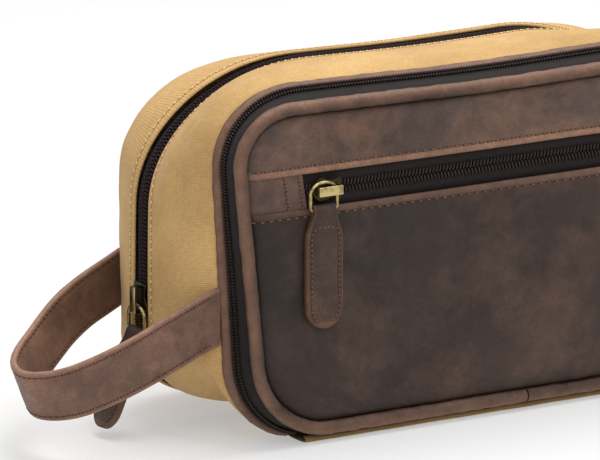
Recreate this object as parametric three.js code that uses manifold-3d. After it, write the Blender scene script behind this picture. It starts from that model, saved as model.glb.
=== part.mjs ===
// A hanging toiletry bag: canvas body, zipped front compartment behind a leather cover,
// a zipped pocket in that cover, and a leather strap loop on the left end.
// Millimetres. X runs along the bag, -Y is the front, +Z is up. The origin is on the base, under the body.
import * as THREE from "three";
import { mergeVertices } from "three/addons/utils/BufferGeometryUtils.js";
import Module from "manifold-3d";

const wasm = await Module();
wasm.setup();

// ---- driving dimensions ----
const gap = 0.4; // clearance between neighbouring pieces
const frame = { half: 127, low: 0, high: 158, radius: 34 }; // front edge of the body
const chamber = { half: 127, low: 0, high: 159, radius: 44 }; // main compartment, before it swells
const cover = { half: 126.5, low: 3.5, high: 152, radius: 31 }; // outline of the leather cover
const bulgeShare = 0.095; // how far the filled ends swell, as a share of the half length
const bulgeHalf = 42; // depth from the main zip at which that swelling has died away
const topFall = 0.0000182; // fall of the top away from its highest line, per square millimetre
const highestY = -15;
const canvasThickness = 2;
const leatherThickness = 1.8;
const boardThickness = 1.2;
const liningThickness = 0.8;
const tapeThickness = 0.8;
const pipingRadius = 3;
const coilRadius = 1.05;
const coilSpacing = 2.5; // between the centres of the two coils of a closed zip

const dividerY = -38;
const outerPipingY = -41;
const coverPipingY = -56;
const pocketCoilY = -56.2;
const frontZipY = -47.4;
const mainZipY = 2;
const rearY = 54;
const canvasEdgeFromZip = 3.6; // canvas edge to the middle of the main zip

const mainZipEnd = 49; // height at which the main zip's chain ends on each end wall
const mainChainInset = 1.2; // middle of its coils, in from the chamber's outline
const tubRim = 46; // the fixed lower canvas ends here
const flapHem = 42; // the rear flap reaches down inside it to here
const flapInset = 4.6;
const frontZipWrap = 92; // the front zip starts this far from the middle, under the left corner
const frontZipStop = 58; // and stops at this height on the right side
const frontChainInset = 2; // middle of its coils, in from the frame's outline
const tapeFromMiddle = 1; // each front tape starts this far from the middle of its zip

const windowLow = 105; // pocket window in the leather cover
const windowHigh = 120;
const windowHalf = 93;
const pocketZipZ = 112.3;
const pocketHalf = windowHalf + 12;
const pouch = { front: -55.3, rear: -50.2, low: 14, high: 104 };

const strapWidth = 24;
const strapThickness = 3.4;
const strapHinge = { x: -142, z: 51.5 };
const strapDroop = THREE.MathUtils.degToRad(22);

const wire = 1.6; // thickness of the rings' wire
const longTab = 50;
const shortTab = 44; // the main zip's tab is the shorter one
const tabWidth = 19;
const neckWidth = 11;
const neckLength = 4;
const shoulderEnd = 11; // the tab has its full width from here
const tabThickness = 3;
const foldRadius = 2.45; // outside of the fold around the ring's lower bar
const foldBore = 1.35;

// ---- looks ----
function paint(color, roughness, metalness = 0) {
  return new THREE.MeshStandardMaterial({ color, roughness, metalness });
}
const looks = {
  canvas: () => paint(0xb5955f, 0.92),
  leather: () => paint(0x4a3d37, 0.55),
  trim: () => paint(0x7d5f4e, 0.5),
  tape: () => paint(0x2d2729, 0.9),
  coil: () => paint(0x241f20, 0.45),
  lining: () => paint(0x5a4a38, 0.9),
  board: () => paint(0x8f8474, 0.85),
  brass: () => paint(0xb9a55c, 0.35, 1),
};

const group = new THREE.Group();

function add(name, geometry, material, parent = group) {
  const mesh = new THREE.Mesh(geometry, material);
  mesh.name = name;
  parent.add(mesh);
  return mesh;
}

// ---- shape helpers ----

// The filled main compartment swells: its ends bulge and its top falls away towards the rear.
function swell(geometry) {
  const p = geometry.attributes.position;
  for (let i = 0; i < p.count; i++) {
    const bulge = 1 + bulgeShare * (1 - ((p.getY(i) - mainZipY) / bulgeHalf) ** 2);
    const settle = 1 - topFall * (p.getY(i) - highestY) ** 2;
    p.setX(i, p.getX(i) * bulge);
    p.setZ(i, p.getZ(i) * settle);
  }
  return geometry;
}

// Corners of a rounded rectangle seen from the front, as a closed shape.
function outline({ half, low, high, radius }, inset = 0) {
  const w = half - inset;
  const r = radius - inset;
  const shape = new THREE.Shape();
  shape.absarc(w - r, high - inset - r, r, 0, Math.PI / 2);
  shape.absarc(r - w, high - inset - r, r, Math.PI / 2, Math.PI);
  shape.absarc(r - w, low + inset + r, r, Math.PI, Math.PI * 1.5);
  shape.absarc(w - r, low + inset + r, r, Math.PI * 1.5, Math.PI * 2);
  shape.closePath();
  return shape;
}

// A path up the left side, over the top and down the right side of a rounded rectangle. Each end is
// either a height on the side or, with `wrap`, a distance from the middle along the bottom.
function archPath({ half, low, high, radius }, inset, left, right) {
  const w = half - inset;
  const r = radius - inset;
  const path = new THREE.Path();
  if (left.wrap) {
    path.moveTo(-left.wrap, low + inset);
    path.lineTo(r - w, low + inset);
    path.absarc(r - w, low + inset + r, r, -Math.PI / 2, -Math.PI, true);
  } else {
    path.moveTo(-w, left.height);
    path.lineTo(-w, high - inset - r);
  }
  path.absarc(r - w, high - inset - r, r, Math.PI, Math.PI / 2, true);
  path.absarc(w - r, high - inset - r, r, Math.PI / 2, 0, true);
  if (right.wrap) {
    path.absarc(w - r, low + inset + r, r, 0, -Math.PI / 2, true);
    path.lineTo(right.wrap, low + inset);
  } else {
    path.lineTo(w, right.height);
  }
  return path;
}

// A flat shape seen from the front, given depth from yFront back to yRear.
function slab(shape, yFront, yRear, steps = 1, curveSegments = 8) {
  const options = { depth: yRear - yFront, steps, curveSegments, bevelEnabled: false };
  const geometry = new THREE.ExtrudeGeometry(shape, options);
  return geometry.rotateX(Math.PI / 2).translate(0, yRear, 0);
}

// A band of the given thickness along an arch.
function archBand(rect, inset, thickness, left, right, yFront, yRear, steps = 1) {
  const outer = archPath(rect, inset, left, right).getPoints(8);
  const inner = archPath(rect, inset + thickness, left, right).getPoints(8);
  return slab(new THREE.Shape([...outer, ...inner.reverse()]), yFront, yRear, steps);
}

// A round cord of the given radius along a flat path standing at depth y.
function cord(points, radius, y, sides, steps) {
  const section = new THREE.Shape();
  section.absarc(0, 0, radius, 0, Math.PI * 2);
  const extrudePath = new THREE.CatmullRomCurve3(points.map((p) => new THREE.Vector3(p.x, y, p.y)));
  const options = { steps, curveSegments: sides, bevelEnabled: false, extrudePath };
  return new THREE.ExtrudeGeometry(section, options);
}

function block(x0, x1, y0, y1, z0, z1) {
  const geometry = new THREE.BoxGeometry(x1 - x0, y1 - y0, z1 - z0);
  return geometry.translate((x0 + x1) / 2, (y0 + y1) / 2, (z0 + z1) / 2);
}

function solid(geometry) {
  const bare = geometry.clone();
  bare.deleteAttribute("normal");
  bare.deleteAttribute("uv");
  const merged = mergeVertices(bare, 1e-4);
  const vertProperties = new Float32Array(merged.attributes.position.array);
  const triVerts = new Uint32Array(merged.index.array);
  return new wasm.Manifold(new wasm.Mesh({ numProp: 3, vertProperties, triVerts }));
}

function fromSolid(result) {
  const mesh = result.getMesh();
  const geometry = new THREE.BufferGeometry();
  geometry.setAttribute("position", new THREE.BufferAttribute(new Float32Array(mesh.vertProperties), 3));
  geometry.setIndex(new THREE.BufferAttribute(new Uint32Array(mesh.triVerts), 1));
  geometry.computeVertexNormals();
  return geometry;
}

// ---- main compartment ----
function addChamber() {
  const ring = outline(chamber);
  ring.holes.push(outline(chamber, canvasThickness));
  const gussetRear = mainZipY - canvasEdgeFromZip;
  add("front_gusset", swell(slab(ring, dividerY, gussetRear, 4)), looks.canvas());
  const dividerShape = outline(chamber, canvasThickness + gap);
  add("divider", swell(slab(dividerShape, dividerY, dividerY + canvasThickness)), looks.lining());

  const wide = 400;
  const tubFront = gussetRear + gap;
  const filled = (inset, front, rear) => solid(swell(slab(outline(chamber, inset), front, rear, 6)));
  const tubOuter = filled(0, tubFront, rearY);
  const tubInner = filled(canvasThickness, tubFront - 5, rearY - canvasThickness);
  const belowRim = solid(block(-wide, wide, -wide, wide, -wide, tubRim));
  add("tub", fromSolid(tubOuter.subtract(tubInner).intersect(belowRim)), looks.canvas());

  const flapFront = mainZipY + canvasEdgeFromZip;
  const flapRear = rearY - flapInset;
  const shellInset = flapInset + canvasThickness;
  const flapOuter = filled(flapInset, flapFront, flapRear);
  const flapInner = filled(shellInset, flapFront - 5, flapRear - canvasThickness);
  const aboveHem = solid(block(-wide, wide, -wide, wide, flapHem, wide));
  add("rear_flap", fromSolid(flapOuter.subtract(flapInner).intersect(aboveHem)), looks.canvas());
}

// One half of the main zip: side is -1 for the half sewn to the front gusset and 1 for the rear flap's.
function addMainZipHalf(side, label) {
  const ends = { height: mainZipEnd };
  const tapeInset = mainChainInset * 2;
  const near = mainZipY + side * 0.3;
  const far = mainZipY + side * (canvasEdgeFromZip - gap);
  const low = Math.min(near, far);
  const high = Math.max(near, far);
  const tape = archBand(chamber, tapeInset, tapeThickness, ends, ends, low, high);
  add(`main_tape_${label}`, swell(tape), looks.tape());
  const points = archPath(chamber, mainChainInset, ends, ends).getSpacedPoints(60);
  const coil = cord(points, coilRadius, mainZipY + (side * coilSpacing) / 2, 3, 48);
  add(`main_coil_${label}`, swell(coil), looks.coil());
}

// ---- front compartment ----
function addFrontFrame() {
  const ends = { wrap: frontZipWrap };
  const centre = archPath(frame, pipingRadius, ends, ends).getSpacedPoints(96);
  add("outer_piping", cord(centre, pipingRadius, outerPipingY, 4, 72), looks.trim());
  const stripHalf = frontZipWrap - gap;
  const stripFront = coverPipingY + 4;
  add("hinge_strip", block(-stripHalf, stripHalf, stripFront, dividerY - gap, gap, 1.6), looks.canvas());
}

// One half of the front zip: side 1 is sewn to the body and -1 to the cover.
function addFrontZipHalf(side, label, tapeFar) {
  const tapeEnds = { wrap: frontZipWrap };
  const chainEnd = { height: frontZipStop };
  const near = frontZipY + side * tapeFromMiddle;
  const low = Math.min(near, tapeFar);
  const high = Math.max(near, tapeFar);
  const tape = archBand(frame, frontChainInset + 1.3, tapeThickness, tapeEnds, tapeEnds, low, high);
  add(`front_tape_${label}`, tape, looks.tape());
  const points = archPath(frame, frontChainInset, tapeEnds, chainEnd).getSpacedPoints(76);
  const coil = cord(points, coilRadius, frontZipY + (side * coilSpacing) / 2, 3, 60);
  add(`front_coil_${label}`, coil, looks.coil());
}

// ---- leather cover ----
function addCover() {
  const joinX = -14; // the two ends of the piping meet under the cover
  const w = cover.half - pipingRadius;
  const r = cover.radius - pipingRadius;
  const bottom = cover.low + pipingRadius;
  const loop = archPath(cover, pipingRadius, { wrap: -joinX + gap }, { wrap: w - r });
  loop.lineTo(joinX + gap, bottom);
  add("cover_piping", cord(loop.getSpacedPoints(120), pipingRadius, coverPipingY, 4, 88), looks.trim());

  const faceFront = coverPipingY - 1.6;
  const faceRear = faceFront + leatherThickness;
  const face = solid(slab(outline(cover, pipingRadius * 2 + gap), faceFront, faceRear));
  const above = solid(block(-200, 200, -100, 0, windowHigh, 300));
  const below = solid(block(-200, 200, -100, 0, -100, windowLow));
  add("upper_panel", fromSolid(face.intersect(above)), looks.leather());
  add("lower_panel", fromSolid(face.intersect(below)), looks.leather());
  const faceHalf = cover.half - pipingRadius * 2 - gap;
  for (const [side, label] of [[-1, "left"], [1, "right"]]) {
    const ends = [side * windowHalf, side * faceHalf].sort((a, b) => a - b);
    const tab = block(ends[0], ends[1], faceFront, faceRear, windowLow + gap, windowHigh - gap);
    add(`window_end_${label}`, tab, looks.leather());
  }
  const boardFront = pouch.rear + gap;
  add("cover_board", slab(outline(cover, 10), boardFront, boardFront + boardThickness), looks.board());
}

function addPocket() {
  const half = pocketHalf;
  const tapeY = coverPipingY + 1.1;
  for (const [side, label] of [[1, "upper"], [-1, "lower"]]) {
    const z = [pocketZipZ + side * gap, pocketZipZ + side * 8].sort((a, b) => a - b);
    add(`pocket_tape_${label}`, block(-half, half, tapeY, tapeY + tapeThickness, z[0], z[1]), looks.tape());
    const coil = new THREE.CylinderGeometry(coilRadius, coilRadius, (windowHalf - gap) * 2, 8);
    coil.rotateZ(Math.PI / 2).translate(0, pocketCoilY, pocketZipZ + (side * coilSpacing) / 2);
    add(`pocket_coil_${label}`, coil, looks.coil());
  }
  // A flat pouch with its mouth at the zip: the leather cover closes its front.
  const { front, rear, low, high } = pouch;
  const t = liningThickness;
  const shell = solid(block(-half, half, front, rear, low, high));
  const room = solid(block(t - half, half - t, front * 2, rear - t, low + t, high * 2));
  add("pocket_lining", fromSolid(shell.subtract(room)), looks.lining());
}

// ---- sliders and pulls ----

// A slider in its own frame: it runs along local X, local Z points away from the bag, and local z = 0
// is the top of the coil.
const plateLow = 0.35;
const plateHigh = 1.45;
const bridgeGap = 3;
const bridgeHigh = plateHigh + bridgeGap;
const ringLevel = plateHigh + bridgeGap / 2;
const bridgeHalf = 6;
const postThickness = 0.8;
const bridgeWidth = 4.2;
const ringFromMiddle = 2.6; // a hanging ring's top bar sits this far below the middle of the bridge
const pocketSliderX = -83;
const passingLeg = 4; // the pocket ring's right leg, from the middle of the bridge it passes under

function sliderGeometry(width) {
  const half = width / 2;
  const plate = new THREE.Shape();
  plate.moveTo(-7, -half * 0.45);
  plate.lineTo(-3.5, -half);
  plate.lineTo(1, -half * 0.82);
  plate.lineTo(7, -half * 0.9);
  plate.lineTo(7, half * 0.9);
  plate.lineTo(1, half * 0.82);
  plate.lineTo(-3.5, half);
  plate.lineTo(-7, half * 0.45);
  plate.closePath();
  const base = new THREE.ExtrudeGeometry(plate, { depth: plateHigh - plateLow, bevelEnabled: false });
  base.translate(0, 0, plateLow);
  const w = bridgeWidth / 2;
  const bar = block(-bridgeHalf, bridgeHalf, -w, w, bridgeHigh, bridgeHigh + 0.9);
  let body = solid(base).add(solid(bar));
  for (const side of [-1, 1]) {
    const edges = [side * bridgeHalf, side * (bridgeHalf - postThickness)].sort((a, b) => a - b);
    body = body.add(solid(block(edges[0], edges[1], -w, w, plateHigh - 0.2, bridgeHigh + 0.2)));
  }
  return fromSolid(body);
}

// A flat wire ring hanging towards local -Y from its top bar, with its lower bar `drop` below that.
const ringHalf = 6.7;
const ringDrop = 11.9;
const passingRingUp = 3.8; // the pocket ring's top bar is this far above the middle of its bridge
function ringGeometry() {
  const loop = (grow) => {
    const rect = { half: ringHalf + grow, low: -ringDrop - grow, high: grow, radius: 1.5 + grow };
    return outline(rect);
  };
  const shape = loop(wire / 2);
  shape.holes.push(loop(-wire / 2));
  const options = { depth: wire, bevelEnabled: false, curveSegments: 4 };
  return new THREE.ExtrudeGeometry(shape, options).translate(0, 0, -wire / 2);
}

// A leather tab hanging towards local -Y from the bar it is folded around.
function tabGeometry(length) {
  const neck = neckWidth / 2;
  const half = tabWidth / 2;
  const turn = neckLength + 2;
  const shape = new THREE.Shape();
  shape.moveTo(neck, 0);
  shape.lineTo(-neck, 0);
  shape.lineTo(-neck, -neckLength);
  shape.quadraticCurveTo(-half, -turn, -half, -shoulderEnd);
  shape.lineTo(-half, -length + half);
  shape.absarc(0, -length + half, half, Math.PI, Math.PI * 2);
  shape.lineTo(half, -shoulderEnd);
  shape.quadraticCurveTo(half, -turn, neck, -neckLength);
  shape.closePath();
  const options = { depth: tabThickness, bevelEnabled: false, curveSegments: 6 };
  const leaf = solid(new THREE.ExtrudeGeometry(shape, options).translate(0, 0, -tabThickness / 2));
  const fold = new THREE.CylinderGeometry(foldRadius, foldRadius, neckWidth, 12).rotateZ(Math.PI / 2);
  const channel = new THREE.CylinderGeometry(foldBore, foldBore, neckWidth + 2, 8).rotateZ(Math.PI / 2);
  return fromSolid(leaf.add(solid(fold)).subtract(solid(channel)));
}

// Slider, ring and tab of a zip whose pull hangs along the zip, as on the two end walls.
function addHangingPull(prefix, { width, x, y, z, facing, tilt, length }) {
  const pull = new THREE.Group();
  pull.position.set(x, y, z);
  pull.rotation.set(0, (facing * Math.PI) / 2, facing > 0 ? Math.PI : 0);
  group.add(pull);
  add(`${prefix}_slider`, sliderGeometry(width), looks.brass(), pull);
  const ring = add(`${prefix}_ring`, ringGeometry(), looks.brass(), pull);
  ring.position.set(-ringFromMiddle, 0, ringLevel);
  ring.rotation.z = -Math.PI / 2;
  const hinge = new THREE.Group();
  hinge.position.set(0, -ringDrop, 0);
  hinge.rotation.x = -THREE.MathUtils.degToRad(tilt);
  ring.add(hinge);
  add(`${prefix}_tab`, tabGeometry(length), looks.trim(), hinge);
}

function addPocketPull() {
  const pull = new THREE.Group();
  pull.position.set(pocketSliderX, pocketCoilY - coilRadius, pocketZipZ);
  pull.rotation.x = Math.PI / 2;
  group.add(pull);
  add("pocket_slider", sliderGeometry(10), looks.brass(), pull);
  // This ring hangs across the zip: its right leg passes under the bridge.
  const ring = add("pocket_ring", ringGeometry(), looks.brass(), pull);
  ring.position.set(passingLeg - ringHalf, passingRingUp, ringLevel);
  const hinge = new THREE.Group();
  hinge.position.set(0, -ringDrop, 0);
  ring.add(hinge);
  add("pocket_tab", tabGeometry(longTab), looks.trim(), hinge);
}

// ---- strap loop ----
function addStrap() {
  // Plan of the strap's middle line: distance out from its hinge, and y.
  const reach = strapWidth / 2;
  const plan = [
    [-reach, -38], [2, -38.4], [22, -38], [40, -35], [55, -28], [63.5, -14],
    [62.5, 0], [54, 12], [40, 22], [20, 35], [5, 41.5], [-reach, 42.5],
  ];
  const line = new THREE.CatmullRomCurve3(plan.map(([out, y]) => new THREE.Vector3(-out, y, 0)));
  const samples = 44;
  const sides = [[], []];
  for (let i = 0; i <= samples; i++) {
    const p = line.getPointAt(i / samples);
    const t = line.getTangentAt(i / samples).multiplyScalar(strapThickness / 2);
    sides[0].push(new THREE.Vector2(p.x - t.y, p.y + t.x));
    sides[1].push(new THREE.Vector2(p.x + t.y, p.y - t.x));
  }
  const shape = new THREE.Shape([...sides[0], ...sides[1].reverse()]);
  const ribbon = new THREE.ExtrudeGeometry(shape, { depth: strapWidth, bevelEnabled: false });
  ribbon.translate(0, 0, -reach);
  // Its two ends are round about the hinge, so that they clear the wall as the loop swings.
  const roundEnd = solid(new THREE.CylinderGeometry(reach, reach, 200, 20));
  const beyond = solid(block(-200, 0, -100, 100, -reach, reach));
  const strap = add("strap", fromSolid(solid(ribbon).intersect(roundEnd.add(beyond))), looks.trim());
  strap.position.set(strapHinge.x, 0, strapHinge.z);
  strap.rotation.y = -strapDroop;
}

addChamber();
addMainZipHalf(-1, "front");
addMainZipHalf(1, "rear");
addFrontFrame();
addFrontZipHalf(1, "body", outerPipingY - pipingRadius - gap);
addFrontZipHalf(-1, "cover", coverPipingY + pipingRadius + gap);
addCover();
addPocket();
addPocketPull();
const mainFaceX = (chamber.half - mainChainInset + coilRadius) * (1 + bulgeShare);
const frontFaceX = frame.half - frontChainInset + coilRadius;
const mainPull = { width: 10, x: -mainFaceX, y: mainZipY, z: 59, facing: -1, tilt: 24, length: shortTab };
const frontPull = { width: 8.4, x: frontFaceX, y: frontZipY, z: 67, facing: 1, tilt: 8.5, length: longTab };
addHangingPull("main", mainPull);
addHangingPull("front", frontPull);
addStrap();

export default group;
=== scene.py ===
import math

import bpy
import numpy as np
from mathutils import Matrix, Vector, noise


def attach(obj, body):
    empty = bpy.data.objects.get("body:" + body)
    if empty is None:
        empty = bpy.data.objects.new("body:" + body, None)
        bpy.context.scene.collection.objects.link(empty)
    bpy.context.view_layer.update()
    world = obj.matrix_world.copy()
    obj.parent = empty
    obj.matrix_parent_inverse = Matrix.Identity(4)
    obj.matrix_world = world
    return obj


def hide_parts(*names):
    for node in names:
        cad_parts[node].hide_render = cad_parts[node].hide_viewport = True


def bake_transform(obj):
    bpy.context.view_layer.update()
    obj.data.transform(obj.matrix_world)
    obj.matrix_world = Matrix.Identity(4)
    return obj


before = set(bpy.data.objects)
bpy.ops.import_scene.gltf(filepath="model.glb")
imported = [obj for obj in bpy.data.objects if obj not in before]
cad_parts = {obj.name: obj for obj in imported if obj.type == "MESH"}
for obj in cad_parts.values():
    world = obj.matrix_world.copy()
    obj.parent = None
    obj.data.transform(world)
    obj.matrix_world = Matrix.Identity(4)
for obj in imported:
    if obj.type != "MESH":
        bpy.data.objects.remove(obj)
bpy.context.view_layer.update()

MM = 0.001

# ---- dimensions, in millimetres
DIVIDER_Y = -38.0
OUTER_PIPING_Y = -40.6
FRONT_ZIP_Y = -46.2
COVER_PIPING_Y = -56.0
MAIN_ZIP_Y = 2.0
PIPING_R = 3.25
COVER_PIPING_R = 2.95
CANVAS_EDGE = 5.6  # canvas edge to the middle of the main zip
MAIN_ZIP_END = 49.0  # height of the main zip's two ends
ZIP_WRAP = 92.0  # the front zip and the outer piping end this far from the middle, underneath
FRONT_ZIP_STOP = 58.0  # height where the front zip's coils end on the right
WINDOW_LOW, WINDOW_HIGH, WINDOW_HALF = 105.0, 120.0, 93.0
POCKET_ZIP_Z = 112.3
POCKET_SLIDER_X = -83.0
RING_HALF, RING_DROP, RING_UP = 6.7, 11.9, 2.95  # half width, height, and its hinge above the slider
PASSING_LEG = 4.0  # the pocket ring's right leg, from the middle of the bridge it passes under
PASSING_UP = 3.8  # that ring's hinge, up the cover from the slider's middle
COVER_LOW, COVER_HIGH = 3.5, 151.8
STRAP_HINGE = (-142.0, 51.5)
STRAP_DROOP = math.radians(22)
STRAP_W, STRAP_T = 24.0, 3.4
LONG_TAB, SHORT_TAB = 50.0, 44.0
TAB_W, NECK_W = 18.4, 11.0
PITCH = 1.75  # tooth pitch of the main and the pocket zip
MIDDLE_Z = 78
PANEL_INSET = PIPING_R * 2 - 2.6  # the leather panels reach under the piping, to here
FORWARD = (0.0, -1.0, 0.0)
CAPSULE_SIDES = 6
# The canvas hem beside the main zip: distance behind the edge, and how far it lies inwards.
HEM = ((4.6, 0.0), (3.6, 0.15), (2.6, 0.0), (0.9, -0.1), (0.1, 0.35), (0.0, 1.1), (0.8, 1.7))


# ---- number helpers
def unit(v):
    return v / np.linalg.norm(v, axis=1, keepdims=True)


def share(x, start, reach):
    """How far x has come from start towards start + reach, held between 0 and 1."""
    return np.clip((x - start) / reach, 0, 1)


def smooth(t):
    return t * t * (3 - 2 * t)


# ---- mesh helpers
def make(name, verts, faces, mat, uv=None, wear_and_shade=None):
    """A smooth-shaded mesh object from millimetre points, with a UV map in metres and a value per point, for
    real wear and painted shade, where they are given."""
    me = bpy.data.meshes.new(name)
    me.from_pydata((np.asarray(verts, float) * MM).tolist(), [], faces)
    if uv is not None:
        layer = me.uv_layers.new(name="UVMap")
        flat = np.array([c for face in uv for c in face], float) * MM
        layer.data.foreach_set("uv", flat.ravel())
    if wear_and_shade is not None:
        data = me.attributes.new("wear_and_shade", "FLOAT", "POINT")
        data.data.foreach_set("value", np.asarray(wear_and_shade, float).ravel())
    me.polygons.foreach_set("use_smooth", [True] * len(me.polygons))
    me.materials.append(mat)
    obj = bpy.data.objects.new(name, me)
    bpy.context.scene.collection.objects.link(obj)
    return obj


def grid_faces(rows, cols, close_u=False, close_v=False):
    """Quads over points stored row by row; u runs along a row and v from row to row."""
    faces = []
    for j in range(rows if close_v else rows - 1):
        for i in range(cols if close_u else cols - 1):
            a, b = j * cols + i, j * cols + (i + 1) % cols
            k = (j + 1) % rows
            faces.append((a, b, k * cols + (i + 1) % cols, k * cols + i))
    return faces


def grid_uv(points, close_u=False, close_v=False):
    """UVs for grid_faces, as lengths along the rows and across them."""
    rows, cols = points.shape[:2]
    across = np.linalg.norm(np.diff(points, axis=1, append=points[:, :1]), axis=2).mean(axis=0)
    along = np.linalg.norm(np.diff(points, axis=0, append=points[:1]), axis=2).mean(axis=1)
    u = np.concatenate([[0], np.cumsum(across)])
    v = np.concatenate([[0], np.cumsum(along)])
    out = []
    for j in range(rows if close_v else rows - 1):
        for i in range(cols if close_u else cols - 1):
            out.append([(u[i], v[j]), (u[i + 1], v[j]), (u[i + 1], v[j + 1]), (u[i], v[j + 1])])
    return out


def sheet(name, points, mat, close_u=False, wear_and_shade=None, thick=0.0, flip=False, flat_from=None):
    """A grid of points as one surface, thickened inwards when thick is set. With flat_from, a lid closes the
    last ring, and from that row on the cloth lies upright and flat, so its UVs are the plain x and z."""
    rows, cols = points.shape[:2]
    faces = grid_faces(rows, cols, close_u)
    uv = grid_uv(points, close_u)
    if flat_from is not None:
        faces.append(tuple((rows - 1) * cols + i for i in range(cols)))
        flat = points.reshape(-1, 3)[:, ::2]
        uv[flat_from * cols:] = [[flat[v] for v in f] for f in faces[flat_from * cols:]]
    if flip:
        faces = [f[::-1] for f in faces]
        uv = [c[::-1] for c in uv]
    obj = make(name, points.reshape(-1, 3), faces, mat, uv, wear_and_shade)
    if thick:
        mod = obj.modifiers.new("thickness", "SOLIDIFY")
        mod.thickness = thick * MM
        mod.offset = -1
    return obj


def smooth_more(obj):
    mod = obj.modifiers.new("subdivision", "SUBSURF")
    mod.levels = 1
    mod.render_levels = 1


def bevel(obj, width, segments):
    mod = obj.modifiers.new("bevel", "BEVEL")
    mod.width = width * MM
    mod.segments = segments
    mod.limit_method = "ANGLE"
    mod.angle_limit = math.radians(30)
    mod.harden_normals = False
    return obj


def resample(points, step=None, count=None, closed=False):
    """Points spaced evenly along a polyline."""
    pts = np.asarray(points, float)
    if closed:
        pts = np.vstack([pts, pts[:1]])
    s = np.concatenate([[0], np.cumsum(np.linalg.norm(np.diff(pts, axis=0), axis=1))])
    n = count or max(2, int(round(s[-1] / step)) + (0 if closed else 1))
    at = np.linspace(0, s[-1], n, endpoint=not closed)
    return np.stack([np.interp(at, s, pts[:, k]) for k in range(pts.shape[1])], axis=1)


def tangents(points, closed=False):
    if closed:
        return unit(np.roll(points, -1, axis=0) - np.roll(points, 1, axis=0))
    return unit(np.gradient(points, axis=0))


def fbm(p, scale, octaves, seed):
    return noise.fractal(Vector((p[0] * scale + seed, p[1] * scale, p[2] * scale)), 1.0, 2.0, octaves)


def capsules(a, b, out, r_out, r_side, sink=0.0, tip=0.4):
    """Short thread or tooth bodies from a to b: r_out is half their height along `out`, r_side half their
    width."""
    a, b, out = (np.asarray(x, float) for x in (a, b, out))
    side = unit(np.cross(unit(b - a), out))
    stations = ((0.0, tip), (0.12, 0.85), (0.5, 1.0), (0.88, 0.85), (1.0, tip))
    sides = CAPSULE_SIDES
    verts, faces = [], []
    for t, k in stations:
        mid = a + (b - a) * t - out * sink * (2 * t - 1) ** 2
        for i in range(sides):
            ang = 2 * math.pi * i / sides
            verts.append(mid + out * (math.cos(ang) * r_out * k) + side * (math.sin(ang) * r_side * k))
    verts = np.stack(verts, axis=1)  # one row of points for each capsule
    per = verts.shape[1]
    pattern = []
    for j in range(len(stations) - 1):
        for i in range(sides):
            k = (i + 1) % sides
            pattern.append((j * sides + i, j * sides + k, (j + 1) * sides + k, (j + 1) * sides + i))
    pattern.append(tuple(range(sides))[::-1])
    pattern.append(tuple(range((len(stations) - 1) * sides, len(stations) * sides)))
    for n in range(len(a)):
        faces += [tuple(n * per + q for q in f) for f in pattern]
    return verts.reshape(-1, 3), faces


def stitches(name, line, out, mat, pitch=4.2, length=3.0, radius=0.36, closed=False):
    """A row of sewn stitches along a line. `out` is the surface's outward direction, for the whole line or
    for each point of it. Each thread dips at its ends, where the per-point value is 1 for painted shade at
    the needle holes."""
    spaced = resample(np.hstack([line, np.broadcast_to(out, line.shape)]), step=pitch, closed=closed)
    mid, n = spaced[:, :3], unit(spaced[:, 3:])
    half = tangents(mid, closed) * length / 2
    lifted = mid + n * radius * 0.5
    verts, faces = capsules(lifted - half, lifted + half, n, radius, radius * 1.2, sink=radius * 0.8,
                            tip=0.75)
    # Painted shade at the needle holes: the per-point value is 1 at each thread's ends.
    ends = np.array([1.0, 0.55, 0.0, 0.55, 1.0])
    wear_and_shade = np.tile(np.repeat(ends, CAPSULE_SIDES), len(mid))
    return make(name, verts, faces, mat, wear_and_shade=wear_and_shade)


def tube(name, line, radius, mat, up, closed=False, sides=16, crinkle=0.0, seed=0.0, on_table=False):
    """A round piping along a line. `up` is the outward direction at each point: v starts on the inner side.
    With on_table, its underside stays above the table."""
    t = tangents(line, closed)
    up = unit(up - t * (up * t).sum(axis=1, keepdims=True))
    side = np.cross(t, up)
    rows, wear_and_shade = [], []
    for i in range(sides):
        ang = 2 * math.pi * i / sides + math.pi
        r = np.full(len(line), radius)
        if crinkle:
            r = r + np.array([crinkle * fbm(p + 7.0 * math.cos(ang), 0.22, 3, seed) for p in line])
        rows.append(line + up * (np.cos(ang) * r)[:, None] + side * (np.sin(ang) * r)[:, None])
        wear_and_shade.append(np.full(len(line), max(0.0, math.cos(ang)) ** 2))
    pts = np.array(rows)  # v round the tube, u along it
    if on_table:
        pts[..., 2] = np.maximum(pts[..., 2], 0.05)
    cols = pts.shape[1]
    faces = grid_faces(sides, cols, closed, True)
    uv = grid_uv(pts, closed, True)
    if not closed:
        faces.append(tuple(j * cols for j in range(sides))[::-1])
        faces.append(tuple(j * cols + cols - 1 for j in range(sides)))
        uv += [[(0, 0)] * sides] * 2
    return make(name, pts.reshape(-1, 3), faces, mat, uv, np.array(wear_and_shade))


# ---- materials
def material(name):
    mat = bpy.data.materials.new(name)
    mat.use_nodes = True
    return mat, mat.node_tree, mat.node_tree.nodes["Principled BSDF"]


def feed(tree, node, inputs):
    """Links each socket to the named input, or sets a plain value on it."""
    for key, value in inputs.items():
        socket = node.inputs[key]
        if isinstance(value, bpy.types.NodeSocket):
            tree.links.new(value, socket)
        else:
            socket.default_value = value


def add(tree, kind, inputs=None, **props):
    node = tree.nodes.new("ShaderNode" + kind)
    for key, value in props.items():
        setattr(node, key, value)
    feed(tree, node, inputs or {})
    return node


def maths(tree, op, a, b=0.0, clamp=False):
    return add(tree, "Math", {0: a, 1: b}, operation=op, use_clamp=clamp).outputs[0]


def times(tree, a, b, clamp=False):
    return maths(tree, "MULTIPLY", a, b, clamp)


def ramp(tree, fac, *stops):
    """A colour ramp in greys, from (position, grey) stops."""
    node = add(tree, "ValToRGB", {"Fac": fac})
    for element, (at, grey) in zip(node.color_ramp.elements, stops):
        element.position = at
        element.color = (grey, grey, grey, 1)
    return node.outputs["Color"]


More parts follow.
